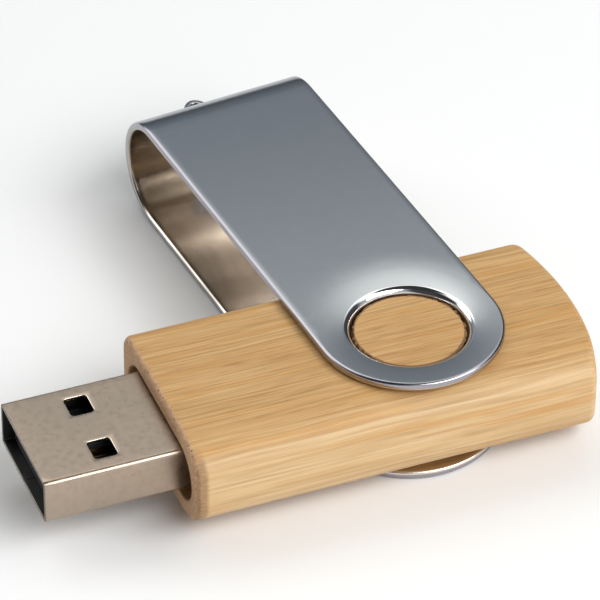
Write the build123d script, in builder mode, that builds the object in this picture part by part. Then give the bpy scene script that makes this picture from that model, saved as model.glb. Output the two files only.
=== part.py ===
from build123d import *
from math import cos, radians, sin
import os

# Swivel USB flash drive: a milled bamboo body with a USB-A plug and a folded steel clip.
# In millimetres: the body lies along X with the plug towards -X, +Z is up, and the origin is where
# the swivel axis meets the surface that the clip's lower leg rests on.

# --- clip ---------------------------------------------------------------------------------------
SHEET = 0.8  # thickness of the clip's steel
CLIP_HEIGHT = 11.0  # over both legs
CLIP_WIDTH = 17.1
CLIP_REACH = 42.0  # from the swivel axis to the outside of the bend
CLIP_ANGLE = 95.5  # direction of the clip from the swivel axis, counted from +X
CLIP_EDGE = 0.2  # easing of the pressed edges
HOLE_RADIUS = 5.3  # inside the drawn flange
FLANGE_WALL = 0.5
FLANGE_BEND = 0.6  # outer radius where the sheet turns in
FLANGE_DROP = 0.5  # how far the flange stands inside the sheet
FLANGE_ROOT = 0.3  # inner radius of the same bend
LOOP_HEIGHT = 1.5  # width of the lanced strip
LOOP_SPAN = 3.5
LOOP_RISE = 3.25  # how far the strip stands out of the bend
LOOP_SIDE = 0.75  # the strip's thickness at its feet
LOOP_CREST = 0.6  # the same where it was stretched most

# --- bamboo body --------------------------------------------------------------------------------
BODY_WIDTH = 19.6
BODY_HEIGHT = 9.0
BODY_FRONT = -23.8
BODY_REAR = 15.7
REAR_ARC = 31.0
FAR_EDGE = 2.0  # rounding of the long edges on the +Y side
NEAR_TOP = (4.8, 2.6)  # reach and drop of the full rounding on the -Y side, above
NEAR_BOTTOM = (4.2, 3.6)  # the same, below
FRONT_EASE = 0.6
REAR_EASE = 0.8
BOSS_RADIUS = 4.9
BOSS_RECESS = 0.8  # the boss ends this far inside the clip's outer face
BOSS_EASE = 0.15
GROOVE_RADIUS = 6.1
GROOVE_DEPTH = 0.6
POCKET_WIDTH = 16.2
POCKET_HEIGHT = 5.6
POCKET_END = 12.0
MOUTH_EASE = 0.25

# --- USB-A plug ---------------------------------------------------------------------------------
PLUG_WIDTH = 12.0
PLUG_HEIGHT = 4.5
PLUG_LENGTH = 18.75
PLUG_TIP = -36.5
PLUG_LIFT = 0.35  # plug centre above the body's middle plane
SHELL = 0.3
SHELL_CORNER = 0.45
WINDOW_START = 5.25  # from the tip
WINDOW_LENGTH = 2.15
WINDOW_WIDTH = 2.5
WINDOW_PITCH = 6.25  # between the two windows' centres
WINDOW_CORNER = 0.35
RIM_EASE = 0.12
LEG_LENGTH = 2.2
LEG_HEIGHT = 1.8
TONGUE_RECESS = 1.0
TONGUE_WIDTH = 11.1
TONGUE_HEIGHT = 1.95
TONGUE_CORNER = 0.3
BASE_LENGTH = 6.0
CONTACT_WIDTH = 1.0
CONTACT_THICKNESS = 0.25
CONTACT_PROUD = 0.05
POWER_RECESS = 1.6  # tip to the front of the outer contacts
DATA_RECESS = 2.6  # tip to the front of the inner contacts
CONTACT_Y = {"vbus": 3.5, "data_minus": 1.0, "data_plus": -1.0, "ground": -3.5}

# --- electronics --------------------------------------------------------------------------------
BOARD_THICKNESS = 0.8
BOARD_WIDTH = 14.2
BOARD_END = 9.0
BOARD_TAB_WIDTH = 11.0
BOARD_CORNER = 0.6
STANDOFF = 0.1  # under both flat packages
CONTROLLER_SIZE = 7.0
CONTROLLER_HEIGHT = 1.2
CONTROLLER_X = -7.5
CONTROLLER_LEADS = 12  # on each side
PIN_MARK_RADIUS = 0.35
PIN_MARK_DEPTH = 0.08
PIN_MARK_OFFSET = 2.6
FLASH_LENGTH = 18.4
FLASH_WIDTH = 12.0
FLASH_HEIGHT = 1.0
FLASH_X = -3.0
FLASH_LEADS = 24  # at each end
CRYSTAL_SIZE = (5.0, 3.2, 1.1)
CRYSTAL_PLACE = (2.6, 3.4)
CAPACITOR_SIZE = (0.8, 1.6, 0.8)
CAPACITOR_ROW = (-12.6, 0)  # four in a row behind the plug
CAPACITOR_BLOCK = (6.2, -2.4)  # two columns of three
RESISTOR_SIZE = (1.0, 0.5, 0.35)
RESISTOR_BLOCK = (1.6, -3.0)  # two columns of four
LEAD_WIDTH = 0.22
LEAD_THICKNESS = 0.15
LEAD_PITCH = 0.5
LEAD_DROP = 0.35  # package edge to the vertical run
LEAD_REACH = 0.84  # package edge to the end of the foot
SOLDER_LENGTH = 1.6
SOLDER_HEIGHT = 0.2
LEG_SOLDER_LENGTH = 1.4
TRAY_FRONT = -21.4
TRAY_END = 10.6
TRAY_GAP = 0.05  # all round, to the pocket
TRAY_FLOOR = 0.7
TRAY_CLEAR = 0.1  # between the tray and the board's edges
GLUE_WIDTH = 15.0
GLUE_HEIGHT = 4.8

# --- worked out ---------------------------------------------------------------------------------
MIDDLE_Z = CLIP_HEIGHT / 2
BODY_TOP = MIDDLE_Z + BODY_HEIGHT / 2
BODY_BOTTOM = MIDDLE_Z - BODY_HEIGHT / 2
BEND_CENTRE = CLIP_REACH - CLIP_HEIGHT / 2
CLIP_OUT = Vector(cos(radians(CLIP_ANGLE)), sin(radians(CLIP_ANGLE)), 0)
CLIP_ACROSS = Vector(sin(radians(CLIP_ANGLE)), -cos(radians(CLIP_ANGLE)), 0)
CLIP_PLAN = Plane(origin=(0, 0, 0), x_dir=CLIP_OUT, z_dir=(0, 0, 1))
CLIP_SIDE = Plane(origin=(0, 0, 0), x_dir=CLIP_OUT, z_dir=CLIP_ACROSS)
PLUG_Z = MIDDLE_Z + PLUG_LIFT
PLUG_END = PLUG_TIP + PLUG_LENGTH
SHELL_FLOOR = PLUG_Z - PLUG_HEIGHT / 2 + SHELL
TONGUE_TOP = SHELL_FLOOR + TONGUE_HEIGHT
CONTACT_BOTTOM = TONGUE_TOP + CONTACT_PROUD - CONTACT_THICKNESS
INNER_WIDTH = PLUG_WIDTH - 2 * SHELL
INNER_HEIGHT = PLUG_HEIGHT - 2 * SHELL
BASE_END = PLUG_END - 1.6
BOARD_TOP = CONTACT_BOTTOM
BOARD_BOTTOM = BOARD_TOP - BOARD_THICKNESS
BOARD_FRONT = PLUG_END + LEG_LENGTH + 0.2
TAIL_END = BOARD_FRONT - 0.6
TRAY_BOTTOM = MIDDLE_Z - POCKET_HEIGHT / 2 + TRAY_GAP

os.makedirs("parts", exist_ok=True)


def finish(builder, name):
    """Label a finished piece and write it as its own STEP file."""
    builder.part.label = name
    export_step(builder.part, f"parts/{name}.step")


# --- bamboo body: one block, far flank eased at +Y, near flank fully rounded at -Y, domed rear ---
with BuildPart() as bamboo_body:
    with BuildSketch(Plane.YZ.offset(BODY_FRONT)):
        with BuildLine():
            half = BODY_WIDTH / 2
            reach, drop = NEAR_TOP
            near_top = EllipticalCenterArc((reach - half, BODY_TOP - drop), reach, drop, 90, arc_size=90)
            reach, drop = NEAR_BOTTOM
            near_bottom = EllipticalCenterArc(
                (reach - half, BODY_BOTTOM + drop), reach, drop, 180, arc_size=90
            )
            far_bottom = CenterArc((half - FAR_EDGE, BODY_BOTTOM + FAR_EDGE), FAR_EDGE, 270, 90)
            far_top = CenterArc((half - FAR_EDGE, BODY_TOP - FAR_EDGE), FAR_EDGE, 0, 90)
            Line(near_top @ 1, near_bottom @ 0)
            Line(near_bottom @ 1, far_bottom @ 0)
            Line(far_bottom @ 1, far_top @ 0)
            Line(far_top @ 1, near_top @ 0)
        make_face()
    extrude(amount=BODY_REAR - BODY_FRONT)
    with BuildSketch(Plane.XY):
        with Locations((BODY_REAR - REAR_ARC, 0)):
            Circle(REAR_ARC)
    extrude(amount=CLIP_HEIGHT, mode=Mode.INTERSECT)
    rear_face = bamboo_body.faces().sort_by(Axis.X)[-1]
    fillet(rear_face.edges(), radius=REAR_EASE)
    front_face = bamboo_body.faces().sort_by(Axis.X)[0]
    fillet(front_face.edges(), radius=FRONT_EASE)
    for face_z, outward in ((BODY_TOP, 1), (BODY_BOTTOM, -1)):
        with BuildSketch(Plane.XY.offset(face_z)):
            Circle(GROOVE_RADIUS)
        extrude(amount=-outward * GROOVE_DEPTH, mode=Mode.SUBTRACT)
        groove_floor = face_z - outward * GROOVE_DEPTH
        boss_end = MIDDLE_Z + outward * (CLIP_HEIGHT / 2 - BOSS_RECESS)
        with BuildSketch(Plane.XY.offset(groove_floor)):
            Circle(BOSS_RADIUS)
        extrude(amount=boss_end - groove_floor)
        boss_rim = bamboo_body.faces().sort_by(Axis.Z)[-1 if outward > 0 else 0].edges()
        fillet(boss_rim, radius=BOSS_EASE)
    with BuildSketch(Plane.YZ.offset(BODY_FRONT)):
        with Locations((0, MIDDLE_Z)):
            SlotOverall(POCKET_WIDTH, POCKET_HEIGHT)
    extrude(amount=POCKET_END - BODY_FRONT, mode=Mode.SUBTRACT)
    mouth = bamboo_body.faces().sort_by(Axis.X)[0].inner_wires()[0].edges()
    fillet(mouth, radius=MOUTH_EASE)

finish(bamboo_body, "bamboo_body")

# --- swivel clip: folded strip, drawn flanges round both holes, lanced lanyard loop --------------
with BuildPart() as swivel_clip:
    with BuildSketch(CLIP_SIDE):
        with BuildLine():
            Line((-CLIP_WIDTH, CLIP_HEIGHT), (-CLIP_WIDTH, CLIP_HEIGHT - SHEET))
            Line((-CLIP_WIDTH, SHEET), (-CLIP_WIDTH, 0))
            for inset in (0, SHEET):
                lower = Line((-CLIP_WIDTH, inset), (BEND_CENTRE, inset))
                upper = Line((-CLIP_WIDTH, CLIP_HEIGHT - inset), (BEND_CENTRE, CLIP_HEIGHT - inset))
                ThreePointArc(lower @ 1, (CLIP_REACH - inset, MIDDLE_Z), upper @ 1)
        make_face()
    extrude(amount=CLIP_WIDTH, both=True)
    with BuildSketch(CLIP_PLAN):
        with BuildLine():
            side = Polyline(
                (0, -CLIP_WIDTH / 2), (2 * CLIP_REACH, -CLIP_WIDTH / 2), (2 * CLIP_REACH, CLIP_WIDTH / 2),
                (0, CLIP_WIDTH / 2),
            )
            ThreePointArc(side @ 1, (-CLIP_WIDTH / 2, 0), side @ 0)
        make_face()
    extrude(amount=CLIP_HEIGHT, mode=Mode.INTERSECT)

    skin = swivel_clip.edges().filter_by(lambda edge: edge.length > CLIP_HEIGHT)
    fillet(skin, radius=CLIP_EDGE)

    with BuildSketch(CLIP_PLAN):
        Circle(HOLE_RADIUS + FLANGE_BEND + FLANGE_WALL)
    extrude(amount=CLIP_HEIGHT, mode=Mode.SUBTRACT)
    with BuildSketch(Plane.XZ):
        ring = HOLE_RADIUS + FLANGE_BEND + FLANGE_WALL
        top, under = CLIP_HEIGHT, CLIP_HEIGHT - SHEET
        with BuildLine():
            crest = Line((ring, top), (HOLE_RADIUS + FLANGE_BEND, top))
            roll = RadiusArc(crest @ 1, (HOLE_RADIUS, top - FLANGE_BEND), -FLANGE_BEND)
            wall = Polyline(
                roll @ 1,
                (HOLE_RADIUS, under - FLANGE_DROP),
                (HOLE_RADIUS + FLANGE_WALL, under - FLANGE_DROP),
                (HOLE_RADIUS + FLANGE_WALL, under - FLANGE_ROOT),
            )
            root = RadiusArc(wall @ 1, (HOLE_RADIUS + FLANGE_WALL + FLANGE_ROOT, under), FLANGE_ROOT)
            Polyline(root @ 1, (ring, under), crest @ 0)
        make_face()
        mirror(about=Plane.XZ.offset(-MIDDLE_Z))
    revolve(axis=Axis.Z)

    loop_plan = CLIP_PLAN.offset(MIDDLE_Z - LOOP_HEIGHT / 2)
    with BuildSketch(loop_plan):
        with Locations((CLIP_REACH, 0)):
            Rectangle(CLIP_HEIGHT, LOOP_SPAN)
    extrude(amount=LOOP_HEIGHT, mode=Mode.SUBTRACT)
    with BuildSketch(loop_plan):
        with Locations((CLIP_REACH - SHEET / 2, 0)):
            Ellipse(LOOP_RISE + SHEET / 2, LOOP_SPAN / 2)
            Ellipse(LOOP_RISE + SHEET / 2 - LOOP_CREST, LOOP_SPAN / 2 - LOOP_SIDE, mode=Mode.SUBTRACT)
            Rectangle(CLIP_HEIGHT, LOOP_SPAN, align=(Align.MAX, Align.CENTER), mode=Mode.SUBTRACT)
        for flank in (-1, 1):
            with Locations((CLIP_REACH - SHEET / 2, flank * (LOOP_SPAN - LOOP_SIDE) / 2)):
                Rectangle(SHEET, LOOP_SIDE)
    extrude(amount=LOOP_HEIGHT)

finish(swivel_clip, "swivel_clip")

# --- plug shell: folded sheet with windows above and below and two soldering legs ----------------
with BuildPart() as plug_shell:
    with BuildSketch(Plane.YZ.offset(PLUG_TIP)):
        with Locations((0, PLUG_Z)):
            RectangleRounded(PLUG_WIDTH, PLUG_HEIGHT, SHELL_CORNER)
            RectangleRounded(INNER_WIDTH, INNER_HEIGHT, SHELL_CORNER - SHELL, mode=Mode.SUBTRACT)
    extrude(amount=PLUG_LENGTH)
    window_x = PLUG_TIP + WINDOW_START + WINDOW_LENGTH / 2
    with BuildSketch(Plane.XY):
        with Locations((window_x, 0)):
            with GridLocations(0, WINDOW_PITCH, 1, 2):
                RectangleRounded(WINDOW_LENGTH, WINDOW_WIDTH, WINDOW_CORNER)
    extrude(amount=CLIP_HEIGHT, mode=Mode.SUBTRACT)
    for flank in (-1, 1):
        with BuildSketch(Plane.XZ.offset(-flank * PLUG_WIDTH / 2)):
            with Locations((PLUG_END + LEG_LENGTH / 2, PLUG_Z)):
                Rectangle(LEG_LENGTH, LEG_HEIGHT)
        extrude(amount=flank * SHELL)
    rim = plug_shell.faces().sort_by(Axis.X)[0].outer_wire().edges()
    fillet(rim, radius=RIM_EASE)

finish(plug_shell, "plug_shell")

# --- plug insulator: tongue along the lower half of the shell, block at its rear -----------------
with BuildPart() as plug_insulator:
    with BuildSketch(Plane.YZ.offset(PLUG_TIP + TONGUE_RECESS)):
        with Locations((0, SHELL_FLOOR + TONGUE_HEIGHT / 2)):
            RectangleRounded(TONGUE_WIDTH, TONGUE_HEIGHT, TONGUE_CORNER)
    extrude(amount=BASE_END - PLUG_TIP - TONGUE_RECESS)
    chamfer(plug_insulator.faces().sort_by(Axis.X)[0].edges(), length=TONGUE_CORNER / 2)
    with BuildSketch(Plane.YZ.offset(BASE_END - BASE_LENGTH)):
        with Locations((0, PLUG_Z)):
            RectangleRounded(TONGUE_WIDTH, INNER_HEIGHT, TONGUE_CORNER)
    extrude(amount=BASE_LENGTH)
    for kind, y in CONTACT_Y.items():
        recess = DATA_RECESS if "data" in kind else POWER_RECESS
        with BuildSketch(Plane.XY.offset(CONTACT_BOTTOM)):
            with Locations(((PLUG_TIP + recess + BASE_END) / 2, y)):
                Rectangle(BASE_END - PLUG_TIP - recess, CONTACT_WIDTH)
        extrude(amount=CONTACT_THICKNESS, mode=Mode.SUBTRACT)

finish(plug_insulator, "plug_insulator")

# --- contacts: the outer two reach further forward; all four end in a tail on the board ----------
for kind, y in CONTACT_Y.items():
    recess = DATA_RECESS if "data" in kind else POWER_RECESS
    with BuildPart() as contact:
        with BuildSketch(Plane.XY.offset(CONTACT_BOTTOM)):
            with Locations(((PLUG_TIP + recess + TAIL_END) / 2, y)):
                Rectangle(TAIL_END - PLUG_TIP - recess, CONTACT_WIDTH)
        extrude(amount=CONTACT_THICKNESS)
    finish(contact, f"contact_{kind}")

# --- circuit board: full width behind the plug, narrower where it enters the shell ---------------
with BuildPart() as circuit_board:
    with BuildSketch(Plane.XY.offset(BOARD_BOTTOM)):
        with Locations(((BOARD_FRONT + BOARD_END) / 2, 0)):
            RectangleRounded(BOARD_END - BOARD_FRONT, BOARD_WIDTH, BOARD_CORNER)
        with Locations(((BASE_END + BOARD_FRONT + BOARD_CORNER) / 2, 0)):
            Rectangle(BOARD_FRONT + BOARD_CORNER - BASE_END, BOARD_TAB_WIDTH)
    extrude(amount=BOARD_THICKNESS)

finish(circuit_board, "circuit_board")

# --- controller: square flat pack on the board's upper side --------------------------------------
with BuildPart() as controller_chip:
    with BuildSketch(Plane.XY.offset(BOARD_TOP + STANDOFF)):
        with Locations((CONTROLLER_X, 0)):
            Rectangle(CONTROLLER_SIZE, CONTROLLER_SIZE)
    extrude(amount=CONTROLLER_HEIGHT)
    chamfer(controller_chip.edges().filter_by(Axis.Z), length=0.4)
    with BuildSketch(Plane.XY.offset(BOARD_TOP + STANDOFF + CONTROLLER_HEIGHT)):
        with Locations((CONTROLLER_X - PIN_MARK_OFFSET, PIN_MARK_OFFSET)):
            Circle(PIN_MARK_RADIUS)
    extrude(amount=-PIN_MARK_DEPTH, mode=Mode.SUBTRACT)

finish(controller_chip, "controller_chip")


def gull_wing(body_edge, foot_level, exit_level):
    """One formed lead: out of the package at exit_level, down, and a foot on the board."""
    half = LEAD_THICKNESS / 2
    foot = foot_level + (half if exit_level > foot_level else -half)
    with BuildPart() as lead:
        with BuildSketch(Plane.XZ.offset(-LEAD_WIDTH / 2)):
            with BuildLine():
                spine = Polyline(
                    (body_edge + half, exit_level),
                    (body_edge + LEAD_DROP, exit_level),
                    (body_edge + LEAD_DROP, foot),
                    (body_edge + LEAD_REACH, foot),
                )
                offset(spine, amount=half, side=Side.BOTH, kind=Kind.INTERSECTION)
            make_face()
        extrude(amount=LEAD_WIDTH)
    return lead.part


CONTROLLER_LEAD = gull_wing(CONTROLLER_SIZE / 2, BOARD_TOP, BOARD_TOP + STANDOFF + CONTROLLER_HEIGHT / 2)

with BuildPart() as controller_leads:
    with Locations((CONTROLLER_X, 0)):
        with PolarLocations(0, 4):
            with GridLocations(0, LEAD_PITCH, 1, CONTROLLER_LEADS):
                add(CONTROLLER_LEAD)

finish(controller_leads, "controller_leads")

# --- flash memory: long thin package under the board ---------------------------------------------
with BuildPart() as flash_chip:
    with BuildSketch(Plane.XY.offset(BOARD_BOTTOM - STANDOFF)):
        with Locations((FLASH_X, 0)):
            RectangleRounded(FLASH_LENGTH, FLASH_WIDTH, 0.2)
    extrude(amount=-FLASH_HEIGHT)

finish(flash_chip, "flash_chip")

FLASH_LEAD = gull_wing(FLASH_LENGTH / 2, BOARD_BOTTOM, BOARD_BOTTOM - STANDOFF - FLASH_HEIGHT / 2)

with BuildPart() as flash_leads:
    with Locations((FLASH_X, 0)):
        with PolarLocations(0, 2):
            with GridLocations(0, LEAD_PITCH, 1, FLASH_LEADS):
                add(FLASH_LEAD)

finish(flash_leads, "flash_leads")

# --- crystal: small metal can beside the controller ----------------------------------------------
with BuildPart() as crystal:
    with BuildSketch(Plane.XY.offset(BOARD_TOP)):
        with Locations(CRYSTAL_PLACE):
            RectangleRounded(*CRYSTAL_SIZE[:2], 0.5)
    extrude(amount=CRYSTAL_SIZE[2])
    fillet(crystal.faces().sort_by(Axis.Z)[-1].edges(), radius=0.2)

finish(crystal, "crystal")

# --- passive chips on the upper side -------------------------------------------------------------
with BuildPart() as capacitors:
    with BuildSketch(Plane.XY.offset(BOARD_TOP)):
        with Locations(CAPACITOR_ROW):
            with GridLocations(0, 3.2, 1, 4):
                Rectangle(*CAPACITOR_SIZE[:2])
        with Locations(CAPACITOR_BLOCK):
            with GridLocations(2.0, 2.4, 2, 3):
                Rectangle(*CAPACITOR_SIZE[:2])
    extrude(amount=CAPACITOR_SIZE[2])

finish(capacitors, "capacitors")

with BuildPart() as resistors:
    with BuildSketch(Plane.XY.offset(BOARD_TOP)):
        with Locations(RESISTOR_BLOCK):
            with GridLocations(1.9, 1.4, 2, 4):
                Rectangle(*RESISTOR_SIZE[:2])
    extrude(amount=RESISTOR_SIZE[2])

finish(resistors, "resistors")

# --- solder: a low fillet over each contact tail and one beside each shell leg -------------------
with BuildPart() as contact_solder:
    with BuildSketch(Plane.XY.offset(CONTACT_BOTTOM + CONTACT_THICKNESS)):
        with Locations((TAIL_END - SOLDER_LENGTH / 2, 0)):
            with Locations(*[(0, y) for y in CONTACT_Y.values()]):
                Rectangle(SOLDER_LENGTH, CONTACT_WIDTH)
    extrude(amount=SOLDER_HEIGHT, taper=30)

finish(contact_solder, "contact_solder")

with BuildPart() as shell_solder:
    leg_solder_centre = PLUG_END + LEG_LENGTH - LEG_SOLDER_LENGTH / 2 - 0.1
    bridge = (INNER_WIDTH - BOARD_TAB_WIDTH) / 2
    with BuildSketch(Plane.XY.offset(BOARD_BOTTOM)):
        with Locations((leg_solder_centre, 0)):
            with GridLocations(0, BOARD_TAB_WIDTH + bridge, 1, 2):
                Rectangle(LEG_SOLDER_LENGTH, bridge)
    extrude(amount=BOARD_THICKNESS)

finish(shell_solder, "shell_solder")

# --- module tray: floor and two rounded flanks that fit the pocket, open above -------------------
with BuildPart() as module_tray:
    with BuildSketch(Plane.YZ.offset(TRAY_FRONT)):
        with Locations((0, MIDDLE_Z)):
            SlotOverall(POCKET_WIDTH - 2 * TRAY_GAP, POCKET_HEIGHT - 2 * TRAY_GAP)
    extrude(amount=TRAY_END - TRAY_FRONT)
    trough_floor = TRAY_BOTTOM + TRAY_FLOOR
    for x_from, x_to, width in (
        (TRAY_FRONT, BOARD_FRONT - 0.3, PLUG_WIDTH + 2 * TRAY_CLEAR),
        (BOARD_FRONT - 0.3, BOARD_END + TRAY_CLEAR, BOARD_WIDTH + 2 * TRAY_CLEAR),
    ):
        with BuildSketch(Plane.XY.offset(trough_floor)):
            with Locations(((x_from + x_to) / 2, 0)):
                Rectangle(x_to - x_from, width)
        extrude(amount=POCKET_HEIGHT, mode=Mode.SUBTRACT)

finish(module_tray, "module_tray")

# --- adhesive between the tray's end wall and the bottom of the pocket ---------------------------
with BuildPart() as tray_adhesive:
    with BuildSketch(Plane.YZ.offset(TRAY_END)):
        with Locations((0, MIDDLE_Z)):
            SlotOverall(GLUE_WIDTH, GLUE_HEIGHT)
    extrude(amount=POCKET_END - TRAY_END)

finish(tray_adhesive, "tray_adhesive")
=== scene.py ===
from math import asin, ceil, cos, hypot, pi, radians, sin
import random

import bmesh
import bpy
from mathutils import Matrix, Vector
from mathutils.geometry import delaunay_2d_cdt


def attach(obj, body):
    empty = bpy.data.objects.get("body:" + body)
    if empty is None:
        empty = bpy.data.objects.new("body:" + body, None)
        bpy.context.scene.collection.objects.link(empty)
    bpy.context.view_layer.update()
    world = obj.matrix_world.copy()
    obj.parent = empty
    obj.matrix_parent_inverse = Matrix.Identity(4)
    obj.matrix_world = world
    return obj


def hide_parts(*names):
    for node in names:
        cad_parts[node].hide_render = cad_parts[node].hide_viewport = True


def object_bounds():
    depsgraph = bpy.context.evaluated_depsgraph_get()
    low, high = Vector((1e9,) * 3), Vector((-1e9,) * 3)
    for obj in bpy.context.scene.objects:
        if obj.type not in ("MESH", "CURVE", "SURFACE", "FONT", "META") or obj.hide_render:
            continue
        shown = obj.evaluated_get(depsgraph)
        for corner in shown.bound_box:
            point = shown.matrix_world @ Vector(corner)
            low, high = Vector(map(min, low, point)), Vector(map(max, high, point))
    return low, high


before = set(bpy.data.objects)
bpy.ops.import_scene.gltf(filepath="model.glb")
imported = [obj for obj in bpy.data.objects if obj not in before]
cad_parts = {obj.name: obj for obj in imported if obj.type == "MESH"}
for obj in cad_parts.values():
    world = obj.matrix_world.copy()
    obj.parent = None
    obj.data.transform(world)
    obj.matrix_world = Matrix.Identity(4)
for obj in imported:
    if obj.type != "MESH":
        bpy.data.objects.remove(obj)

cad_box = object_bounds()

MM = 0.001

# ---- sizes of the clip, the plug and the bosses, in millimetres and degrees, as in the CAD ----------
CLIP_ANGLE = 95.5
SHEET = 0.8
CLIP_HALF = 8.55
BEND_CENTRE = 36.5
BEND_OUTER = 5.5
CLIP_TOP = 11.0
HOLE_RADIUS = 5.3
ROLL = 0.6
FLANGE_WALL = 0.5
FLANGE_DEPTH = 1.3
ROOT = 0.3
LOOP_HALF_HEIGHT = 0.75
LOOP_HALF_SPAN = 1.75
LOOP_RISE = 3.25
LOOP_SIDE = 0.75
LOOP_CREST = 0.6

PLUG_TIP = -36.5
PLUG_LENGTH = 18.75
PLUG_WIDTH = 12.0
PLUG_HEIGHT = 4.5
PLUG_Z = 5.85
SHELL = 0.3
SHELL_CORNER = 0.45
WINDOW_X = (5.25, 7.4)
WINDOW_Y = 3.125
WINDOW_HALF = 1.25
WINDOW_CORNER = 0.35
LEG_LENGTH = 2.2
LEG_HALF = 0.9

BOSS_RADIUS = 4.9
BOSS_TOP = 10.2
MIDDLE_Z = CLIP_TOP / 2

# ---- sizes that only the visible meshes have, in millimetres ----------------------------------------
CLIP_EASE = 0.26
SLOT_EASE = 0.08
LOOP_CORNER = 0.15
DISH_RADIUS = 10.5  # the plate dips towards each hole from this radius on
DISH_DEPTH = 0.29
DISH_FALL = 2.4  # power of the dip's curve
DISH_INSIDE = 0.42  # share of the dip that the inner face has
LIP_EASE = 0.06
SHELL_EASE = 0.06
SEAM_HALF = 0.035
FIBRE_STEP = 0.30
RIM_EVEN = 0.20  # how far the rim stands out round the boss where the fibres run along it
RIM_TORN = 0.02  # the same across the fibres, where they are torn right back
RIM_FIBRE = 0.28  # how much further a whole fibre reaches
RIM_CROSSING = 0.35  # the rim is torn where the cosine of its angle is beyond this, as the fibres end there
TEAR_FALL = 1.5

# ---- spacing of the meshes' points, in millimetres, and counts of points ----------------------------
RING = 8.2  # the flanged disc of each leg is built as rings out to this radius
RING_STEP = 0.25
RING_CLEAR = 0.4
ROOT_CLEAR = 0.05
SLOT_CLEAR = 0.3
WINDOW_CLEAR = 0.2
LEG_STEP = 0.9
BEND_STEP = 0.4
CROSS_STEP = 0.75
CROSS_MARGIN = 0.7
FACE_STEP = 0.9
SIDE_STEP = 0.8
FOLD_STEP = 0.09
LENGTH_STEP = 1.0
CIRCLE_POINTS = 144
END_STEPS = 64
LIP_STEPS = 10
STRIP_STEPS = 32
RIM_POINTS = 360
CORNER_STEPS = 4  # in a quarter turn of a rounded corner or bend
CLIP_EASE_STEPS = 4
SHELL_EASE_STEPS = 3
STRIP_EASE_STEPS = 3
MERGE_WITHIN = 1e-7  # metres
FILL_WITHIN = 1e-6


# ---- node materials --------------------------------------------------------------------------------
class Paint:
    """A material under construction: a Principled shader and short calls that add nodes to it."""

    def __init__(self, name, **values):
        self.material = bpy.data.materials.new(name)
        self.material.use_nodes = True
        self.tree = self.material.node_tree
        self.shader = self.tree.nodes["Principled BSDF"]
        for key, value in values.items():
            self.shader.inputs[key.replace("_", " ")].default_value = value
        coords = self.tree.nodes.new("ShaderNodeTexCoord")
        self.object = coords.outputs["Object"]
        self.normal = coords.outputs["Normal"]

    def feed(self, socket, value):
        if isinstance(value, bpy.types.NodeSocket):
            self.tree.links.new(value, socket)
        else:
            socket.default_value = value

    def math(self, operation, a, b=0.0, clamp=False):
        node = self.tree.nodes.new("ShaderNodeMath")
        node.operation = operation
        node.use_clamp = clamp
        self.feed(node.inputs[0], a)
        self.feed(node.inputs[1], b)
        return node.outputs[0]

    def split(self, vector):
        node = self.tree.nodes.new("ShaderNodeSeparateXYZ")
        self.feed(node.inputs[0], vector)
        return node.outputs

    def join(self, x, y, z):
        node = self.tree.nodes.new("ShaderNodeCombineXYZ")
        for socket, value in zip(node.inputs, (x, y, z)):
            self.feed(socket, value)
        return node.outputs[0]

    def scaled(self, vector, scale):
        node = self.tree.nodes.new("ShaderNodeMapping")
        node.inputs["Scale"].default_value = scale
        self.feed(node.inputs["Vector"], vector)
        return node.outputs[0]

    def millimetres(self):
        """The object's own coordinates, in millimetres."""
        return self.scaled(self.object, (1000, 1000, 1000))

    def noise(self, vector, scale=1.0, detail=3.0, rough=0.5):
        node = self.tree.nodes.new("ShaderNodeTexNoise")
        self.feed(node.inputs["Vector"], vector)
        node.inputs["Scale"].default_value = scale
        node.inputs["Detail"].default_value = detail
        node.inputs["Roughness"].default_value = rough
        return node.outputs[0]

    def cells(self, vector, scale=1.0, feature="F1"):
        node = self.tree.nodes.new("ShaderNodeTexVoronoi")
        node.feature = feature
        self.feed(node.inputs["Vector"], vector)
        node.inputs["Scale"].default_value = scale
        return node.outputs

    def span(self, value, low, high, to_low=0.0, to_high=1.0, smooth=True):
        node = self.tree.nodes.new("ShaderNodeMapRange")
        node.interpolation_type = "SMOOTHSTEP" if smooth else "LINEAR"
        for socket, v in zip(node.inputs, (value, low, high, to_low, to_high)):
            self.feed(socket, v)
        return node.outputs[0]

    def mix(self, share, a, b):
        node = self.tree.nodes.new("ShaderNodeMix")
        node.data_type = "RGBA"
        self.feed(node.inputs[0], share)
        self.feed(node.inputs[6], a)
        self.feed(node.inputs[7], b)
        return node.outputs[2]

    def bump(self, height, distance):
        node = self.tree.nodes.new("ShaderNodeBump")
        node.inputs["Strength"].default_value = 1.0
        node.inputs["Distance"].default_value = distance
        self.feed(node.inputs["Height"], height)
        return node.outputs[0]

    def set(self, **links):
        for key, value in links.items():
            self.feed(self.shader.inputs[key.replace("_", " ")], value)
        return self.material


def srgb(red, green, blue):
    """A colour given in 8-bit sRGB, as the linear RGBA the shader takes."""
    shares = [value / 255 for value in (red, green, blue)]
    linear = [c / 12.92 if c <= 0.04045 else ((c + 0.055) / 1.055) ** 2.4 for c in shares]
    return (*linear, 1.0)


END_CORNER_SHADE = (-22.55, -23.05)  # X from which painted shade darkens the flanks towards the end, and X where it is full
SCORCH_INNER = (4.84, 4.98)  # radius where the scorching round the boss starts, and where it is full
SCORCH_OUTER = (6.22, 6.08)
GLOSS_SPREAD = 0.06


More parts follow.
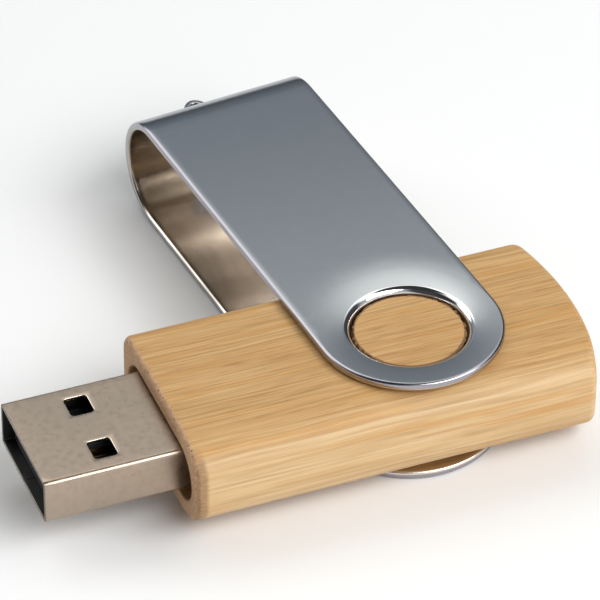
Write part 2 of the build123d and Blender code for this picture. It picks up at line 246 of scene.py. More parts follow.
def bamboo(name):
    """Bamboo with its fibres along X: dark streaks on top, long lines on the flanks, pores on the ends."""
    p = Paint(name, Specular_IOR_Level=0.45)
    mm = p.millimetres()
    x, y, z = p.split(mm)
    nx, ny, _ = p.split(p.normal)
    wander = p.math("SUBTRACT", p.noise(p.scaled(mm, (0.025, 0.05, 0.08)), detail=1.0), 0.5)
    sway = p.math("SUBTRACT", p.noise(p.scaled(mm, (0.10, 0.30, 0.30)), detail=1.0), 0.5)
    shift = p.math("ADD", p.math("MULTIPLY", wander, 1.5), p.math("MULTIPLY", sway, 0.30))
    yy = p.math("ADD", y, shift)
    zz = p.math("ADD", z, shift)
    grain = p.join(x, yy, p.math("MULTIPLY", zz, 0.6))

    band = p.noise(p.scaled(grain, (0.030, 0.55, 0.55)), detail=2.0)
    patch = p.noise(p.scaled(grain, (0.12, 0.35, 0.35)), detail=2.0)
    fine = p.noise(p.scaled(grain, (0.070, 4.0, 4.0)), detail=4.0, rough=0.6)
    fibre = p.noise(p.scaled(grain, (0.14, 8.0, 8.0)), detail=3.0, rough=0.6)
    long_cells = p.cells(p.scaled(grain, (0.13, 2.6, 2.6)))[0]
    short_cells = p.cells(p.scaled(grain, (0.26, 4.2, 4.2)))[0]

    tone = p.span(fine, 0.34, 0.66, smooth=False)
    colour = p.mix(tone, srgb(176, 134, 80), srgb(208, 170, 118))
    colour = p.mix(p.span(band, 0.40, 0.64, 0.0, 0.45), colour, srgb(190, 145, 86))
    streak = p.math("MULTIPLY", p.span(long_cells, 0.38, 0.12), p.span(patch, 0.38, 0.58, 0.15, 1.0))
    colour = p.mix(p.math("MULTIPLY", streak, 0.45), colour, srgb(150, 102, 48))
    dash = p.math("MULTIPLY", p.span(short_cells, 0.34, 0.10), p.span(band, 0.40, 0.60, 0.25, 1.0))
    colour = p.mix(p.math("MULTIPLY", dash, 0.45), colour, srgb(146, 100, 50))
    colour = p.mix(p.span(fibre, 0.55, 0.80, 0.0, 0.30), colour, srgb(218, 188, 142))

    honey = p.span(p.noise(p.scaled(grain, (0.028, 1.1, 1.7)), detail=2.0, rough=0.4), 0.54, 0.62)
    colour = p.mix(p.math("MULTIPLY", honey, 0.30), colour, srgb(208, 150, 78))

    # the flanks are paler, which is painted light, with a few honey-coloured and white grain lines
    flank = p.span(p.math("ABSOLUTE", ny), 0.20, 0.80)
    pale = p.mix(p.span(fine, 0.34, 0.66), srgb(198, 162, 116), srgb(216, 184, 138))
    pale = p.mix(p.math("MULTIPLY", honey, 0.45), pale, srgb(202, 146, 76))
    white_line = p.span(p.noise(p.scaled(grain, (0.022, 2.0, 3.4)), detail=2.0), 0.58, 0.66)
    pale = p.mix(p.math("MULTIPLY", white_line, 0.35), pale, srgb(236, 214, 178))
    pale = p.mix(p.span(fibre, 0.45, 0.20, 0.0, 0.22), pale, srgb(180, 134, 84))
    colour = p.mix(p.math("MULTIPLY", flank, 0.80), colour, pale)

    # end grain: brown, with pale-walled pores
    corner = p.math("MULTIPLY", p.span(x, *END_CORNER_SHADE), flank)
    end = p.math("MAXIMUM", p.span(nx, -0.14, -0.62), p.span(nx, 0.50, 0.95))
    section = p.join(p.math("MULTIPLY", x, 0.25), y, z)
    pores = p.cells(section, 2.4)[0]
    speck = p.noise(section, 5.0, detail=3.0, rough=0.6)
    ends = p.mix(p.span(speck, 0.35, 0.65), srgb(182, 144, 110), srgb(212, 172, 134))
    ends = p.mix(p.span(pores, 0.26, 0.08, 0.0, 0.8), ends, srgb(96, 66, 44))
    ends = p.mix(p.span(pores, 0.42, 0.60, 0.0, 0.30), ends, srgb(192, 158, 120))
    colour = p.mix(end, colour, ends)
    # painted shade: the flanks turn darker brown over their last half millimetre before the end, with the end
    # grain's speckle
    end_corner_painted_shade = p.mix(p.span(speck, 0.35, 0.65), srgb(140, 106, 74), srgb(166, 130, 92))
    colour = p.mix(p.math("MULTIPLY", corner, 0.85), colour, end_corner_painted_shade)

    # the turned groove and the rim of the boss are scorched by the cutter
    radius = p.math("SQRT", p.math("ADD", p.math("MULTIPLY", x, x), p.math("MULTIPLY", y, y)))
    ragged = p.math("ADD", radius, p.math("MULTIPLY", p.math("SUBTRACT", fibre, 0.5), 0.25))
    scorch = p.math("MULTIPLY", p.span(ragged, *SCORCH_INNER), p.span(ragged, *SCORCH_OUTER))
    colour = p.mix(p.math("MULTIPLY", scorch, 0.75), colour, srgb(84, 52, 28))

    rough = p.span(fine, 0.25, 0.75, 0.60, 0.48)
    rough = p.math("ADD", rough, p.math("MULTIPLY", end, 0.25), clamp=True)
    smooth = p.math("SUBTRACT", 1.0, p.math("MULTIPLY", streak, 0.6))
    relief = p.math("ADD", p.math("MULTIPLY", fibre, 0.5), smooth)
    relief = p.math("ADD", relief, p.math("MULTIPLY", end, p.span(pores, 0.08, 0.28)))
    return p.set(Base_Color=colour, Roughness=rough, Normal=p.bump(relief, 0.000035))


def satin(
    name, colour, rough, along=(1, 1, 1), wave=(0.12, 0.12, 0.12), wave_depth=2e-6, mottle=0.95, spread=0.03,
    tint=None, tint_share=0.5, painted_shade_bands=(),
):
    """Finished metal: soft reflections, a faint mottling and a trace of the press's unevenness.

    Each band of painted shade comes in along Y: the Y in millimetres where it starts, the Y where it is full,
    its share and its colour.
    """
    p = Paint(name, Metallic=1.0)
    mm = p.millimetres()
    cloud = p.noise(p.scaled(mm, wave), 1.0, detail=0.0)
    mottled = p.noise(p.scaled(mm, along), 1.6, detail=3.0, rough=0.5)
    deep = tuple(c * mottle for c in colour[:3]) + (1.0,)
    shade = p.mix(p.span(mottled, 0.30, 0.70), deep, colour)
    if tint is not None:
        # on the clip's inner face this tint is painted reflection: darker warm bands across the sheet. On the
        # plug's nickel it is an uneven tone of the plating.
        shade = p.mix(p.span(cloud, 0.35, 0.65, 0.0, tint_share), shade, tint)
    roughness = p.span(mottled, 0.25, 0.75, rough - spread / 2, rough + spread / 2)
    # bands of painted shade: darker colour laid in along Y
    for start, end, share, tone in painted_shade_bands:
        shade = p.mix(p.span(p.split(mm)[1], start, end, 0.0, share), shade, tone)
    return p.set(Base_Color=shade, Roughness=roughness, Normal=p.bump(cloud, wave_depth))


def moulded(name, colour, rough):
    """Moulded plastic or epoxy: a faint orange peel and uneven gloss."""
    p = Paint(name, Specular_IOR_Level=0.5)
    mm = p.millimetres()
    peel = p.noise(mm, 6.0, detail=3.0, rough=0.6)
    cloud = p.noise(mm, 0.8, detail=2.0)
    light = tuple(min(1.0, c * 1.25 + 0.004) for c in colour[:3]) + (1.0,)
    shade = p.mix(p.span(cloud, 0.3, 0.7), colour, light)
    roughness = p.span(peel, 0.3, 0.7, rough - GLOSS_SPREAD, rough + GLOSS_SPREAD)
    return p.set(Base_Color=shade, Roughness=roughness, Normal=p.bump(peel, 4e-6))


def board_green(name):
    """Solder mask over copper tracks."""
    p = Paint(name, Specular_IOR_Level=0.5)
    mm = p.millimetres()
    tracks = p.cells(p.scaled(mm, (1.0, 1.6, 0.1)), 0.9, feature="DISTANCE_TO_EDGE")[0]
    trace = p.span(tracks, 0.10, 0.14)
    shade = p.mix(trace, srgb(34, 96, 58), srgb(18, 62, 38))
    weave = p.noise(mm, 5.0, detail=2.0)
    shade = p.mix(p.span(weave, 0.3, 0.7, 0.0, 0.3), shade, srgb(40, 104, 66))
    return p.set(Base_Color=shade, Roughness=p.span(weave, 0.3, 0.7, 0.30, 0.42), Normal=p.bump(trace, 2e-5))


WOOD = bamboo("bamboo")
# painted shade: the outer face grows darker along the leg towards the bend and is darkest at the bend's
# crest, standing in for the reflection falling off round the bend
BEND_PAINTED_SHADE, BEND_PAINTED_DARK = srgb(134, 138, 148), srgb(84, 90, 104)
CLIP_OUTER = satin(
    "clip_outer", srgb(176, 178, 180), 0.21, wave_depth=4e-6, mottle=0.985, spread=0.012,
    painted_shade_bands=((6.0, 38.5, 0.5, BEND_PAINTED_SHADE), (38.5, 41.0, 0.9, BEND_PAINTED_SHADE), (40.2, 41.5, 0.6, BEND_PAINTED_DARK)),
)
# painted reflection: the tint lays darker warm bands across the polished inner face
CLIP_INNER = satin(
    "clip_inner", srgb(234, 227, 219), 0.22, along=(1, 0.10, 1), wave=(0.03, 0.17, 0.05), wave_depth=1.5e-5,
    spread=0.04, tint=srgb(182, 175, 166), tint_share=0.95,
)
CLIP_EDGE = satin("clip_edge", srgb(168, 165, 172), 0.20, along=(1, 1, 0.2))
CLIP_LIP = satin("clip_lip", srgb(226, 226, 226), 0.07, mottle=0.98, spread=0.02)
NICKEL = satin(
    "plug_nickel", srgb(181, 163, 146), 0.31, wave_depth=4e-6, mottle=0.90, spread=0.09,
    tint=srgb(166, 153, 138),
)
# painted shade: the inside of the shell is the same nickel, coloured dark for the shade in the mouth
NICKEL_INSIDE_PAINTED_SHADE = satin("plug_inside_painted_shade", srgb(88, 86, 86), 0.42, spread=0.06)
NICKEL_EDGE = satin("plug_cut_edge", srgb(232, 224, 212), 0.22)
# painted shade: the cut edges round the shell's outline, the mouth's rim among them, are coloured darker for
# the shade on them
NICKEL_RIM_PAINTED_SHADE = satin("plug_rim_painted_shade", srgb(122, 116, 108), 0.32)
GOLD = satin("contact_gold", srgb(214, 178, 96), 0.20, along=(0.1, 1, 1))
TIN = satin("tin", srgb(196, 198, 200), 0.32)
BLACK_PLASTIC = moulded("plug_plastic", srgb(26, 26, 28), 0.42)
CHIP_BLACK = moulded("chip_black", srgb(22, 22, 24), 0.55)
TRAY_BLACK = moulded("tray_plastic", srgb(24, 22, 21), 0.50)
TAN = moulded("capacitor_tan", srgb(156, 118, 78), 0.40)
GLUE = moulded("adhesive", srgb(206, 196, 170), 0.30)
BOARD = board_green("board")

CAD_MATERIALS = {
    "bamboo_body": WOOD, "plug_insulator": BLACK_PLASTIC, "contact_vbus": GOLD, "contact_data_minus": GOLD,
    "contact_data_plus": GOLD, "contact_ground": GOLD, "circuit_board": BOARD, "controller_chip": CHIP_BLACK,
    "controller_leads": TIN, "flash_chip": CHIP_BLACK, "flash_leads": TIN, "crystal": TIN, "capacitors": TAN,
    "resistors": CHIP_BLACK, "contact_solder": TIN, "shell_solder": TIN, "module_tray": TRAY_BLACK,
    "tray_adhesive": GLUE, "swivel_clip": CLIP_OUTER, "plug_shell": NICKEL,
}
for node, material in CAD_MATERIALS.items():
    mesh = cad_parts[node].data
    mesh.materials.clear()
    mesh.materials.append(material)


# ---- mesh helpers ----------------------------------------------------------------------------------
class Shape:
    """Vertices in millimetres and faces with a material number, gathered before they become a mesh."""

    def __init__(self):
        self.points, self.faces, self.kinds = [], [], []

    def add(self, point):
        self.points.append(Vector(point))
        return len(self.points) - 1

    def ring(self, points):
        return [self.add(p) for p in points]

    def face(self, corners, kind):
        self.faces.append(tuple(corners))
        self.kinds.append(kind)

    def bridge(self, a, b, kind):
        """Quads from closed loop a to closed loop b, which have the same number of vertices."""
        for i in range(len(a)):
            j = (i + 1) % len(a)
            self.face((a[i], a[j], b[j], b[i]), kind)

    def build(self, name, materials, angle=0.0, sharp=40.0):
        mesh = bpy.data.meshes.new(name)
        turn = Matrix.Rotation(radians(angle), 3, "Z")
        mesh.from_pydata([turn @ p * MM for p in self.points], [], self.faces)
        for material in materials:
            mesh.materials.append(material)
        mesh.polygons.foreach_set("material_index", self.kinds)
        mesh.validate()
        piece = bpy.data.objects.new(name, mesh)
        bpy.context.scene.collection.objects.link(piece)
        work = bmesh.new()
        work.from_mesh(mesh)
        bmesh.ops.remove_doubles(work, verts=work.verts, dist=MERGE_WITHIN)
        bmesh.ops.recalc_face_normals(work, faces=work.faces)
        work.to_mesh(mesh)
        work.free()
        mesh.shade_smooth()
        mesh.set_sharp_from_angle(angle=radians(sharp))
        weighted = piece.modifiers.new("normals", "WEIGHTED_NORMAL")
        weighted.keep_sharp = True
        return piece


def steps(low, high, most):
    """Evenly spaced values from low to high, no further apart than most."""
    count = max(1, ceil(abs(high - low) / most))
    return [low + (high - low) * i / count for i in range(count + 1)]


def inside(point, loop):
    """True if the flat point lies inside the closed loop of flat points."""
    x, y = point
    odd = False
    for i, (xa, ya) in enumerate(loop):
        xb, yb = loop[i - 1]
        if (ya > y) != (yb > y) and x < (xb - xa) * (y - ya) / (yb - ya) + xa:
            odd = not odd
    return odd


def fill(outer, holes, loose):
    """Triangles of the flat area inside outer and outside holes, using the loose points: (points, faces)."""
    points, edges = [], []
    for loop in [outer, *holes]:
        first = len(points)
        points += loop
        edges += [(first + i, first + (i + 1) % len(loop)) for i in range(len(loop))]
    points += loose
    made = delaunay_2d_cdt([Vector(p) for p in points], edges, [], 0, FILL_WITHIN)
    kept = []
    for corners in made[2]:
        centre = [sum(made[0][i][k] for i in corners) / len(corners) for k in (0, 1)]
        if inside(centre, outer) and not any(inside(centre, hole) for hole in holes):
            kept.append(tuple(corners))
    return [tuple(v) for v in made[0]], kept


def eased_cut(shape, thickness, ease, ease_steps, cut, place, kinds):
    """The cut face along a loop of the sheet, eased on both sides.

    cut(inset) gives the loop moved into the metal by that much. place(a, b, depth) bends the flat point
    (a, b) at that depth under the outer face. kinds: outer easing, inner easing, wall.
    """
    eased = []
    for face, way in ((0, 1), (thickness, -1)):
        rings = []
        for i in range(ease_steps + 1):
            t = pi / 2 * i / ease_steps
            depth, inset = face + way * ease * (1 - sin(t)), ease * (1 - cos(t))
            rings.append(shape.ring(place(*q, depth) for q in cut(inset)))
        eased.append(rings)
    for rings, kind in zip(eased, kinds):
        for a, b in zip(rings, rings[1:]):
            shape.bridge(a, b, kind)
    shape.bridge(eased[0][0], eased[1][0], kinds[2])


def skins(shape, thickness, outline, holes, loose, place, kinds):
    """The outer and the inner face of the sheet, from the flat outline, holes and loose points."""
    points, faces = fill(outline, holes, loose)
    for depth, kind in zip((0, thickness), kinds):
        ring = shape.ring(place(*q, depth) for q in points)
        for corners in faces:
            shape.face([ring[i] for i in corners], kind)


# ---- swivel clip: folded strip with dished, flanged holes and a lanced lanyard loop ------------------
NEUTRAL = BEND_OUTER - SHEET / 2
HALF_BEND = NEUTRAL * pi / 2
HOLE_AT = HALF_BEND + BEND_CENTRE
LOOP_SPAN_S = NEUTRAL * asin(LOOP_HALF_HEIGHT / NEUTRAL)
OUTER, INNER, EDGE, LIP = range(4)  # the clip's materials
sides = (
    [-s for s in steps(-HOLE_AT, -HALF_BEND, LEG_STEP)][:-1]
    + [-s for s in steps(-HALF_BEND, HALF_BEND, BEND_STEP)]
    + [-s for s in steps(HALF_BEND, HOLE_AT, LEG_STEP)][1:]
)
circle = [2 * pi * i / CIRCLE_POINTS for i in range(CIRCLE_POINTS)]


def dish(radius):
    """How far the sheet dips at this distance from the swivel axis."""
    share = max(0.0, (DISH_RADIUS - max(radius, HOLE_RADIUS + ROLL)) / (DISH_RADIUS - HOLE_RADIUS - ROLL))
    return DISH_DEPTH * share**DISH_FALL


def clip_place(s, v, depth):
    """The point of the folded strip at s along it from the middle of the bend, v across it, and a depth."""
    reach = HOLE_AT - abs(s)
    dip = dish(hypot(reach, v)) * (1 - (1 - DISH_INSIDE) * depth / SHEET)
    if abs(s) <= HALF_BEND:
        turn = s / NEUTRAL
        radius = BEND_OUTER - depth
        return (BEND_CENTRE + radius * cos(turn), v, MIDDLE_Z + radius * sin(turn))
    level = CLIP_TOP - depth - dip
    return (reach, v, level if s > 0 else CLIP_TOP - level)


def clip_outline(inset):
    """The strip's flat outline: two straight sides and two round ends."""
    half = CLIP_HALF - inset
    loop = []
    for end in (1, -1):
        arc = [pi / 2 - pi * i / END_STEPS for i in range(END_STEPS + 1)]
        loop += [(end * (HOLE_AT + half * cos(t)), end * half * sin(t)) for t in arc]
        run = sides[1:-1] if end > 0 else [-s for s in sides[1:-1]]
        loop += [(s, -end * half) for s in run]
    return loop


def slot_outline(outset):
    """The lanced opening in the bend, with its small corner rounding."""
    half_s, half_v, corner = LOOP_SPAN_S + outset, LOOP_HALF_SPAN + outset, LOOP_CORNER + outset
    loop = []
    for k, (sx, sy) in enumerate(((1, 1), (-1, 1), (-1, -1), (1, -1))):
        for i in range(CORNER_STEPS + 1):
            t = pi / 2 * (k + i / CORNER_STEPS)
            loop.append((sx * (half_s - corner) + corner * cos(t), sy * (half_v - corner) + corner * sin(t)))
    return loop


def disc(end, radius):
    """A circle round the hole at that end of the flat strip."""
    return [(end * HOLE_AT + radius * cos(t), radius * sin(t)) for t in circle]


def beside_slot(s, v):
    """True in and close to the lanced opening, where the mesh needs no loose points."""
    return abs(s) < LOOP_SPAN_S + SLOT_CLEAR and abs(v) < LOOP_HALF_SPAN + SLOT_CLEAR


clip = Shape()
loose = [
    (s, v)
    for s in sides[1:-1]
    for v in steps(-CLIP_HALF + CROSS_MARGIN, CLIP_HALF - CROSS_MARGIN, CROSS_STEP)
    if min(hypot(s - HOLE_AT, v), hypot(s + HOLE_AT, v)) > RING + RING_CLEAR and not beside_slot(s, v)
]
for cut, ease in ((clip_outline, CLIP_EASE), (slot_outline, SLOT_EASE)):
    eased_cut(clip, SHEET, ease, CLIP_EASE_STEPS, cut, clip_place, (EDGE, INNER, EDGE))
openings = [disc(1, RING), disc(-1, RING), slot_outline(SLOT_EASE)]
skins(clip, SHEET, clip_outline(CLIP_EASE), openings, loose, clip_place, (OUTER, INNER))

# rings round each hole, over the rolled lip and down the flange
rings_flat = steps(RING, HOLE_RADIUS + ROLL, RING_STEP)
lip = dish(HOLE_RADIUS + ROLL)
slope = DISH_FALL * DISH_DEPTH / (DISH_RADIUS - HOLE_RADIUS - ROLL)
path = [(r, dish(r), OUTER) for r in rings_flat]
for i in range(1, LIP_STEPS + 1):
    t = pi / 2 * i / LIP_STEPS
    r = HOLE_RADIUS + ROLL - ROLL * sin(t)
    path.append((r, lip + ROLL * (1 - cos(t)) + slope * (HOLE_RADIUS + ROLL - r), LIP))
path += [(HOLE_RADIUS, FLANGE_DEPTH - LIP_EASE, LIP), (HOLE_RADIUS + LIP_EASE, FLANGE_DEPTH, EDGE)]
path += [(HOLE_RADIUS + FLANGE_WALL, FLANGE_DEPTH, EDGE)]
inner_rings = [r for r in rings_flat if r > HOLE_RADIUS + FLANGE_WALL + ROOT + ROOT_CLEAR]
foot = SHEET + dish(HOLE_RADIUS + FLANGE_WALL + ROOT) * DISH_INSIDE
for i in range(CORNER_STEPS + 1):
    t = pi / 2 * i / CORNER_STEPS
    path.append((HOLE_RADIUS + FLANGE_WALL + ROOT * (1 - cos(t)), foot + ROOT * (1 - sin(t)), INNER))
path += [(r, SHEET + dish(r) * DISH_INSIDE, INNER) for r in reversed(inner_rings)]
for end in (1, -1):
    previous = None
    for r, depth, kind in path:
        level = CLIP_TOP - depth
        points = [(HOLE_AT - abs(q[0]), q[1], level if end > 0 else CLIP_TOP - level) for q in disc(end, r)]
        ring = clip.ring(points)
        if previous is not None:
            clip.bridge(previous, ring, kind)
        previous = ring

# the lanced strip stands out of the bend as a half loop, with a rounded section
strip_in, strip_out = [], []
strip_foot = BEND_CENTRE + BEND_OUTER - SHEET / 2
rise = LOOP_RISE + SHEET / 2
for i in range(STRIP_STEPS + 1):
    t = pi * i / STRIP_STEPS
    strip_out.append((-LOOP_HALF_SPAN * cos(t), strip_foot + rise * sin(t)))
    strip_in.append(((LOOP_SIDE - LOOP_HALF_SPAN) * cos(t), strip_foot + (rise - LOOP_CREST) * sin(t)))
section = []
for k, (outside, side) in enumerate(((1, 1), (0, 1), (0, -1), (1, -1))):
    for i in range(STRIP_EASE_STEPS + 1):
        t = pi / 2 * (k + i / STRIP_EASE_STEPS)
        across = (SHEET - LOOP_CORNER if outside else LOOP_CORNER) + LOOP_CORNER * cos(t)
        section.append((across / SHEET, side * (LOOP_HALF_HEIGHT - LOOP_CORNER) + LOOP_CORNER * sin(t)))
strip_rings = [
    clip.ring((ua + (ub - ua) * share, va + (vb - va) * share, MIDDLE_Z + z) for share, z in section)
    for (va, ua), (vb, ub) in zip(strip_in, strip_out)
]
for a, b in zip(strip_rings, strip_rings[1:]):
    clip.bridge(a, b, EDGE)
clip.face(strip_rings[0], EDGE)
clip.face(list(reversed(strip_rings[-1])), EDGE)

clip_sheet = clip.build("clip_sheet", [CLIP_OUTER, CLIP_INNER, CLIP_EDGE, CLIP_LIP], CLIP_ANGLE)
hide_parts("swivel_clip")
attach(clip_sheet, "clip")


# ---- plug shell: sheet folded round four corners, seam below, windows above and below ---------------
FOLD = SHELL_CORNER - SHELL / 2
TOP_RUN = PLUG_WIDTH / 2 - SHELL_CORNER
SIDE_RUN = PLUG_HEIGHT / 2 - SHELL_CORNER
QUARTER = FOLD * pi / 2
HALF_GIRTH = 2 * TOP_RUN + 2 * SIDE_RUN + 2 * QUARTER
FACE, CUT, INSIDE, RIM = range(4)  # the plug shell's materials


def plug_place(x, p, depth):
    """The point of the folded shell at x from its tip and p round it from the middle of its upper face."""
    side = 1 if p >= 0 else -1
    p = abs(p)
    out = SHELL_CORNER - depth
    if p <= TOP_RUN:
        y, z = p, PLUG_HEIGHT / 2 - depth
    elif p <= TOP_RUN + QUARTER:
        t = (p - TOP_RUN) / FOLD
        y, z = TOP_RUN + out * sin(t), SIDE_RUN + out * cos(t)
    elif p <= TOP_RUN + QUARTER + 2 * SIDE_RUN:
        y, z = PLUG_WIDTH / 2 - depth, SIDE_RUN - (p - TOP_RUN - QUARTER)
    elif p <= TOP_RUN + 2 * QUARTER + 2 * SIDE_RUN:
        t = (p - TOP_RUN - QUARTER - 2 * SIDE_RUN) / FOLD
        y, z = TOP_RUN + out * cos(t), -SIDE_RUN - out * sin(t)
    else:
        y, z = HALF_GIRTH - p, -PLUG_HEIGHT / 2 + depth
    return (PLUG_TIP + x, side * y, PLUG_Z + z)


SIDE_FROM, SIDE_TO = TOP_RUN + QUARTER, TOP_RUN + QUARTER + 2 * SIDE_RUN
half_lines = []
for low, high, most in (
    (0, TOP_RUN, FACE_STEP),
    (TOP_RUN, SIDE_FROM, FOLD_STEP),
    (SIDE_FROM, SIDE_TO, SIDE_STEP),
    (SIDE_TO, TOP_RUN + 2 * QUARTER + 2 * SIDE_RUN, FOLD_STEP),
    (TOP_RUN + 2 * QUARTER + 2 * SIDE_RUN, HALF_GIRTH - SEAM_HALF, FACE_STEP),
):
    half_lines = half_lines[:-1] + steps(low, high, most)
girth_lines = [-p for p in reversed(half_lines[1:])] + half_lines
length_lines = steps(0, PLUG_LENGTH, LENGTH_STEP)


def plug_outline(inset):
    """The shell's flat outline, a rectangle with points at every girth and length line."""
    x0, x1 = inset, PLUG_LENGTH - inset
    far = girth_lines[-1]
    along = [min(max(x, x0), x1) for x in length_lines]
    across = [min(max(p, -far + inset), far - inset) for p in girth_lines]
    loop = [(x, -far + inset) for x in along[:-1]] + [(x1, p) for p in across[:-1]]
    loop += [(x, far - inset) for x in reversed(along[1:])] + [(x0, p) for p in reversed(across[1:])]
    return loop


def window(centre):
    """The outline of the window at that place round the shell, as a function of how far it is widened."""

    def loop(outset):
        low, high = WINDOW_X[0] - outset, WINDOW_X[1] + outset
        half, corner = WINDOW_HALF + outset, WINDOW_CORNER + outset
        points = []
        near, far = low + corner, high - corner
        for k, (sx, sp) in enumerate(((far, 1), (near, 1), (near, -1), (far, -1))):
            for i in range(CORNER_STEPS + 1):
                t = pi / 2 * (k + i / CORNER_STEPS)
                points.append((sx + corner * cos(t), centre + sp * (half - corner) + corner * sin(t)))
        return points

    return loop


def beside_window(x, p):
    """True in and close to a window, where the mesh needs no loose points."""
    along = WINDOW_X[0] - WINDOW_CLEAR < x < WINDOW_X[1] + WINDOW_CLEAR
    return along and any(abs(p - centre) < WINDOW_HALF + WINDOW_CLEAR for centre in window_centres)


window_centres = [WINDOW_Y, -WINDOW_Y, HALF_GIRTH - WINDOW_Y, WINDOW_Y - HALF_GIRTH]
windows = [window(centre) for centre in window_centres]
loose = [(x, p) for x in length_lines[1:-1] for p in girth_lines[1:-1] if not beside_window(x, p)]
shell = Shape()
eased_cut(shell, SHELL, SHELL_EASE, SHELL_EASE_STEPS, plug_outline, plug_place, (RIM, RIM, RIM))
for loop in windows:
    eased_cut(shell, SHELL, SHELL_EASE, SHELL_EASE_STEPS, loop, plug_place, (CUT, CUT, CUT))
openings = [loop(SHELL_EASE) for loop in windows]
skins(shell, SHELL, plug_outline(SHELL_EASE), openings, loose, plug_place, (FACE, INSIDE))
# the two soldering legs carry the flanks on behind the shell
for flank in (-1, 1):
    leg = []
    for x in (PLUG_LENGTH - SHELL_EASE, PLUG_LENGTH + LEG_LENGTH):
        loop = [
            (PLUG_TIP + x, flank * (PLUG_WIDTH / 2 - dy), PLUG_Z + dz)
            for dy, dz in ((0, -LEG_HALF), (0, LEG_HALF), (SHELL, LEG_HALF), (SHELL, -LEG_HALF))
        ]
        leg.append(shell.ring(loop))
    shell.bridge(leg[0], leg[1], CUT)
    shell.face(leg[0], CUT)
    shell.face(list(reversed(leg[1])), CUT)

plug_sheet = shell.build("plug_sheet", [NICKEL, NICKEL_EDGE, NICKEL_INSIDE_PAINTED_SHADE, NICKEL_RIM_PAINTED_SHADE])
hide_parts("plug_shell")
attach(plug_sheet, "drive")


# ---- torn fibres round the rim of each boss ----------------------------------------------------------
random.seed(7)
fibre_length = [random.uniform(0.0, 1.0) for _ in range(2 * ceil(BOSS_RADIUS / FIBRE_STEP) * 2 + 4)]


def torn(angle):
    """How far the cut across the fibres is torn back at this angle round the boss, from 0 to 1."""
    y = BOSS_RADIUS * sin(angle)
    row = int(y / FIBRE_STEP + len(fibre_length) / 4)
    half = len(fibre_length) // 2 if cos(angle) < 0 else 0
    return fibre_length[row + half] * abs(cos(angle)) ** TEAR_FALL


def rim_section(angle):
    """The rim's radius, and its drop below the top of the boss, at six levels for this angle."""
    tear = torn(angle)
    across = abs(cos(angle)) > RIM_CROSSING
    edge = BOSS_RADIUS + (RIM_TORN + RIM_FIBRE * (1 - tear) if across else RIM_EVEN)
    return [
        (BOSS_RADIUS - 0.30, 0.03),
        (BOSS_RADIUS - 0.17, -0.004),
        (edge - 0.07, 0.0),
        (edge, 0.05 + 0.05 * tear),
        (edge - 0.04, 0.40),
        (BOSS_RADIUS - 0.05, 0.72),
    ]


rim_turns = [2 * pi * i / RIM_POINTS for i in range(RIM_POINTS)]
rim_sections = [rim_section(t) for t in rim_turns]
for name, top in (("boss_rim_upper", True), ("boss_rim_lower", False)):
    rim = Shape()
    loops = []
    for level in zip(*rim_sections):
        loop = []
        for t, (radius, drop) in zip(rim_turns, level):
            z = BOSS_TOP - drop
            loop.append((radius * cos(t), radius * sin(t), z if top else CLIP_TOP - z))
        loops.append(rim.ring(loop))
    for a, b in zip(loops, loops[1:]):
        rim.bridge(a, b, 0)
    rim.bridge(loops[-1], loops[0], 0)
    piece = rim.build(name, [WOOD], sharp=55)
    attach(piece, "drive")


# ---- floor, light and camera -------------------------------------------------------------------------
FLOOR_REACH = 1.6
FLOOR_GAP = 0.00002
floor_mesh = bpy.data.meshes.new("floor")
corners = [(FLOOR_REACH * x, FLOOR_REACH * y, 0) for x, y in ((-1, -1), (1, -1), (1, 1), (-1, 1))]
floor_mesh.from_pydata(corners, [], [(0, 1, 2, 3)])
floor = bpy.data.objects.new("floor", floor_mesh)
bpy.context.scene.collection.objects.link(floor)
floor.location.z = cad_box[0].z - FLOOR_GAP
floor_paint = Paint("floor", Specular_IOR_Level=0.2)
floor_tone = floor_paint.noise(floor_paint.object, 3.0, detail=2.0)
floor_mesh.materials.append(
    floor_paint.set(
        Base_Color=floor_paint.mix(floor_tone, srgb(243, 243, 243), srgb(247, 247, 247)),
        Roughness=floor_paint.span(floor_tone, 0, 1, 0.75, 0.85),
    )
)


def direction(azimuth, elevation):
    """The unit vector towards a point of the studio. Azimuth 0 looks from -Y, and 90 from +X."""
    a, e = radians(azimuth), radians(elevation)
    return Vector((sin(a) * cos(e), -cos(a) * cos(e), sin(e)))


world = bpy.data.worlds.new("studio")
bpy.context.scene.world = world
world.use_nodes = True
studio = world.node_tree
background = studio.nodes["Background"]
looking = studio.nodes.new("ShaderNodeTexCoord").outputs["Generated"]
heights = studio.nodes.new("ShaderNodeSeparateXYZ")
studio.links.new(looking, heights.inputs[0])


TINT_FROM, TINT_RANGE = 0.55, 0.25  # sine of the elevation where the tint starts to change, and over how much


def height_ramp(stops, tints):
    """The studio's brightness by the sine of the elevation, with a tint low down and one high up."""
    ramp = studio.nodes.new("ShaderNodeValToRGB")
    elements = ramp.color_ramp.elements
    while len(elements) < len(stops):
        elements.new(0.5)
    for element, (position, value) in zip(elements, stops):
        share = min(1.0, max(0.0, (position - TINT_FROM) / TINT_RANGE))
        element.position = position
        element.color = (*(value * (a + (b - a) * share) for a, b in zip(*tints)), 1.0)
    studio.links.new(heights.outputs[2], ramp.inputs[0])
    return ramp.outputs[0]


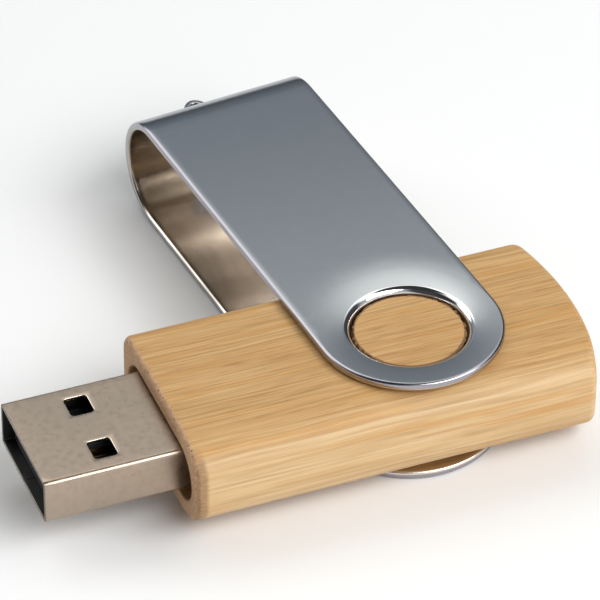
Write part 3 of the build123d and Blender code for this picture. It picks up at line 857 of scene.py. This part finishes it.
def lobe(azimuth, elevation, inner, outer, value):
    """value within the inner angle from the direction, falling to nothing at the outer one."""
    facing = studio.nodes.new("ShaderNodeVectorMath")
    facing.operation = "DOT_PRODUCT"
    facing.inputs[1].default_value = direction(azimuth, elevation)
    studio.links.new(looking, facing.inputs[0])
    fall = studio.nodes.new("ShaderNodeMapRange")
    fall.interpolation_type = "SMOOTHSTEP"
    for socket, level in zip(fall.inputs[1:5], (cos(radians(outer)), cos(radians(inner)), 0.0, value)):
        socket.default_value = level
    studio.links.new(facing.outputs["Value"], fall.inputs[0])
    return fall.outputs[0]


def join_light(share, a, b):
    """a where share is 0, and b where it is 1."""
    node = studio.nodes.new("ShaderNodeMix")
    node.data_type = "RGBA"
    for socket, value in ((node.inputs[0], share), (node.inputs[6], a), (node.inputs[7], b)):
        if isinstance(value, bpy.types.NodeSocket):
            studio.links.new(value, socket)
        else:
            socket.default_value = value
    return node.outputs[2]


COOL, EVEN, WARM = (0.88, 1.0, 1.12), (1.0, 1.0, 1.0), (0.98, 1.0, 0.97)
behind = height_ramp(
    (
        (0.0, 0.20), (0.05, 0.07), (0.22, 0.19), (0.40, 0.31), (0.53, 0.31), (0.60, 0.37), (0.66, 0.66),
        (0.73, 1.35), (0.80, 1.9), (0.87, 1.9), (0.92, 0.05), (1.0, 0.04),
    ),
    (COOL, WARM),
)
in_front = height_ramp(
    ((0.0, 0.85), (0.22, 0.85), (0.42, 0.52), (0.7, 0.60), (0.80, 0.60), (0.88, 0.06), (1.0, 0.04)),
    (EVEN, WARM),
)
light = join_light(lobe(158.7, 0, 65, 110, 1.0), in_front, behind)
# three dark flags and three bright panels: azimuth, elevation, inner angle, outer angle, share, colour
for *place, tone in (
    (-62, 36, 26, 44, 0.95, (0.03, 0.03, 0.035, 1.0)),
    (-95, 30, 12, 25, 0.95, (0.03, 0.03, 0.035, 1.0)),
    (110, 18, 24, 36, 0.92, (0.04, 0.04, 0.045, 1.0)),
    (-138, 26, 12, 22, 1.0, (2.2, 2.2, 2.2, 1.0)),
    (-172, 52, 9, 19, 1.0, (2.1, 2.1, 2.05, 1.0)),
    (138, 50, 8, 18, 0.5, (1.5, 1.52, 1.48, 1.0)),
):
    light = join_light(lobe(*place), light, tone)
studio.links.new(light, background.inputs[0])

# one softbox, high on the right in front, aimed at the object
KEY_WAY = direction(34, 45)
KEY_DISTANCE, KEY_SIZE, KEY_POWER = 0.9, (0.80, 0.58), 7.5
key_data = bpy.data.lights.new("key", "AREA")
key_data.shape, key_data.energy = "RECTANGLE", KEY_POWER
key_data.size, key_data.size_y = KEY_SIZE
key = bpy.data.objects.new("key", key_data)
bpy.context.scene.collection.objects.link(key)
key.location = KEY_WAY * KEY_DISTANCE
key.rotation_mode = "QUATERNION"
key.rotation_quaternion = (-KEY_WAY).to_track_quat("-Z", "Y")

camera_data = bpy.data.cameras.new("camera")
camera = bpy.data.objects.new("camera", camera_data)
bpy.context.scene.collection.objects.link(camera)
bpy.context.scene.camera = camera
AZIMUTH, ELEVATION, ROLL_ANGLE = -21.294, 38.357, radians(0.169)
CAMERA_OFFSET = Vector((-9.744, 6.144, 420.09)) * MM
SENSOR, LENS = 36.0, 280.5438  # millimetres
NEAREST, FURTHEST = 0.01, 20.0
right = direction(AZIMUTH + 90, 0)
back = direction(AZIMUTH, ELEVATION)
up = back.cross(right)
roll_cos, roll_sin = cos(ROLL_ANGLE), sin(ROLL_ANGLE)
right, up = right * roll_cos + up * roll_sin, up * roll_cos - right * roll_sin
turned = Matrix((right, up, back)).transposed()
camera.location = turned @ CAMERA_OFFSET + Vector((0, 0, PLUG_Z * MM))
camera.rotation_mode = "QUATERNION"
camera.rotation_quaternion = turned.to_quaternion()
camera_data.sensor_width = SENSOR
camera_data.lens = LENS
camera_data.clip_start, camera_data.clip_end = NEAREST, FURTHEST
bpy.context.scene.view_settings.view_transform = "Standard"

# ---- the scene brought up to date ---------------------------------------------------------------------
bpy.context.view_layer.update()
